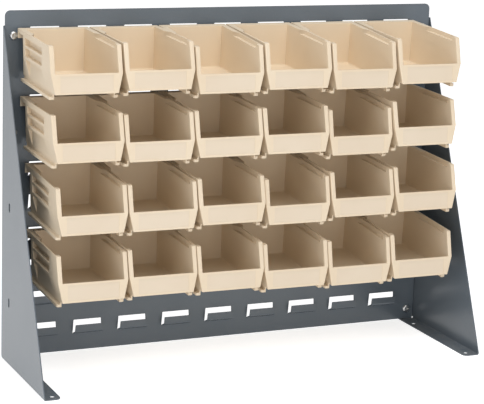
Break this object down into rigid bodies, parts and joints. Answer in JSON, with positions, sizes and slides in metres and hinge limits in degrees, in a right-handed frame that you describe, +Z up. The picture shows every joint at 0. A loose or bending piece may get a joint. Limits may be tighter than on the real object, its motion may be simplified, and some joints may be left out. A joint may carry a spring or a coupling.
{
  "type": "bench bin rack",
  "caption": "Louvered steel back panel on two bent end brackets, hung with rows of moulded hook-on plastic bins that lift off for small parts on a workbench.",
  "frame": {"origin": "middle of the rack's outline at bench level", "axes": "+X along the rack to the right as seen from the front, +Y towards the back of the panel, +Z up; the bins face -Y"},
  "size_m": [0.686, 0.2132, 0.508],
  "materials": {
    "steel_paint": "satin grey powder coat",
    "zinc": "bright zinc plate",
    "bin_plastic": "satin moulded polypropylene"
  },
  "bodies": {
    "rack": {"louvered_panel": "steel_paint", "louver_tabs": "steel_paint", "left_bracket": "steel_paint", "right_bracket": "steel_paint", "panel_screws": "zinc", "flange_nuts": "zinc"},
    "bin_r1_c1": {"bin_r1_c1": "bin_plastic"},
    "bin_r1_c2": {"bin_r1_c2": "bin_plastic"},
    "bin_r1_c3": {"bin_r1_c3": "bin_plastic"},
    "bin_r1_c4": {"bin_r1_c4": "bin_plastic"},
    "bin_r1_c5": {"bin_r1_c5": "bin_plastic"},
    "bin_r1_c6": {"bin_r1_c6": "bin_plastic"},
    "bin_r2_c1": {"bin_r2_c1": "bin_plastic"},
    "bin_r2_c2": {"bin_r2_c2": "bin_plastic"},
    "bin_r2_c3": {"bin_r2_c3": "bin_plastic"},
    "bin_r2_c4": {"bin_r2_c4": "bin_plastic"},
    "bin_r2_c5": {"bin_r2_c5": "bin_plastic"},
    "bin_r2_c6": {"bin_r2_c6": "bin_plastic"},
    "bin_r3_c1": {"bin_r3_c1": "bin_plastic"},
    "bin_r3_c2": {"bin_r3_c2": "bin_plastic"},
    "bin_r3_c3": {"bin_r3_c3": "bin_plastic"},
    "bin_r3_c4": {"bin_r3_c4": "bin_plastic"},
    "bin_r3_c5": {"bin_r3_c5": "bin_plastic"},
    "bin_r3_c6": {"bin_r3_c6": "bin_plastic"},
    "bin_r4_c1": {"bin_r4_c1": "bin_plastic"},
    "bin_r4_c2": {"bin_r4_c2": "bin_plastic"},
    "bin_r4_c3": {"bin_r4_c3": "bin_plastic"},
    "bin_r4_c4": {"bin_r4_c4": "bin_plastic"},
    "bin_r4_c5": {"bin_r4_c5": "bin_plastic"},
    "bin_r4_c6": {"bin_r4_c6": "bin_plastic"}
  },
  "joints": [
    {"name": "lift_r1_c1", "type": "slide", "parent": "rack", "child": "bin_r1_c1", "axis": [0, -0.0454, 0.999], "range_m": [0, 0.011]},
    {"name": "lift_r1_c2", "type": "slide", "parent": "rack", "child": "bin_r1_c2", "axis": [0, -0.0314, 0.9995], "range_m": [0, 0.011]},
    {"name": "lift_r1_c3", "type": "slide", "parent": "rack", "child": "bin_r1_c3", "axis": [0, -0.0889, 0.996], "range_m": [0, 0.011]},
    {"name": "lift_r1_c4", "type": "slide", "parent": "rack", "child": "bin_r1_c4", "axis": [0, -0.0698, 0.9976], "range_m": [0, 0.011]},
    {"name": "lift_r1_c5", "type": "slide", "parent": "rack", "child": "bin_r1_c5", "axis": [0, -0.0924, 0.9957], "range_m": [0, 0.011]},
    {"name": "lift_r1_c6", "type": "slide", "parent": "rack", "child": "bin_r1_c6", "axis": [0, -0.061, 0.9981], "range_m": [0, 0.011]},
    {"name": "lift_r2_c1", "type": "slide", "parent": "rack", "child": "bin_r2_c1", "axis": [0, -0.0244, 0.9997], "range_m": [0, 0.011]},
    {"name": "lift_r2_c2", "type": "slide", "parent": "rack", "child": "bin_r2_c2", "axis": [0, -0.0471, 0.9989], "range_m": [0, 0.011]},
    {"name": "lift_r2_c3", "type": "slide", "parent": "rack", "child": "bin_r2_c3", "axis": [0, -0.0384, 0.9993], "range_m": [0, 0.011]},
    {"name": "lift_r2_c4", "type": "slide", "parent": "rack", "child": "bin_r2_c4", "axis": [0, -0.0384, 0.9993], "range_m": [0, 0.011]},
    {"name": "lift_r2_c5", "type": "slide", "parent": "rack", "child": "bin_r2_c5", "axis": [0, -0.0906, 0.9959], "range_m": [0, 0.011]},
    {"name": "lift_r2_c6", "type": "slide", "parent": "rack", "child": "bin_r2_c6", "axis": [0, -0.0262, 0.9997], "range_m": [0, 0.011]},
    {"name": "lift_r3_c1", "type": "slide", "parent": "rack", "child": "bin_r3_c1", "axis": [0, -0.0576, 0.9983], "range_m": [0, 0.011]},
    {"name": "lift_r3_c2", "type": "slide", "parent": "rack", "child": "bin_r3_c2", "axis": [0, -0.0628, 0.998], "range_m": [0, 0.011]},
    {"name": "lift_r3_c3", "type": "slide", "parent": "rack", "child": "bin_r3_c3", "axis": [0, -0.0419, 0.9991], "range_m": [0, 0.011]},
    {"name": "lift_r3_c4", "type": "slide", "parent": "rack", "child": "bin_r3_c4", "axis": [0, -0.0906, 0.9959], "range_m": [0, 0.011]},
    {"name": "lift_r3_c5", "type": "slide", "parent": "rack", "child": "bin_r3_c5", "axis": [0, -0.0541, 0.9985], "range_m": [0, 0.011]},
    {"name": "lift_r3_c6", "type": "slide", "parent": "rack", "child": "bin_r3_c6", "axis": [0, -0.0384, 0.9993], "range_m": [0, 0.011]},
    {"name": "lift_r4_c1", "type": "slide", "parent": "rack", "child": "bin_r4_c1", "axis": [0, -0.0454, 0.999], "range_m": [0, 0.011]},
    {"name": "lift_r4_c2", "type": "slide", "parent": "rack", "child": "bin_r4_c2", "axis": [0, -0.0349, 0.9994], "range_m": [0, 0.011]},
    {"name": "lift_r4_c3", "type": "slide", "parent": "rack", "child": "bin_r4_c3", "axis": [0, -0.0471, 0.9989], "range_m": [0, 0.011]},
    {"name": "lift_r4_c4", "type": "slide", "parent": "rack", "child": "bin_r4_c4", "axis": [0, -0.0819, 0.9966], "range_m": [0, 0.011]},
    {"name": "lift_r4_c5", "type": "slide", "parent": "rack", "child": "bin_r4_c5", "axis": [0, -0.1028, 0.9947], "range_m": [0, 0.011]},
    {"name": "lift_r4_c6", "type": "slide", "parent": "rack", "child": "bin_r4_c6", "axis": [0, -0.0819, 0.9966], "range_m": [0, 0.011]}
  ]
}
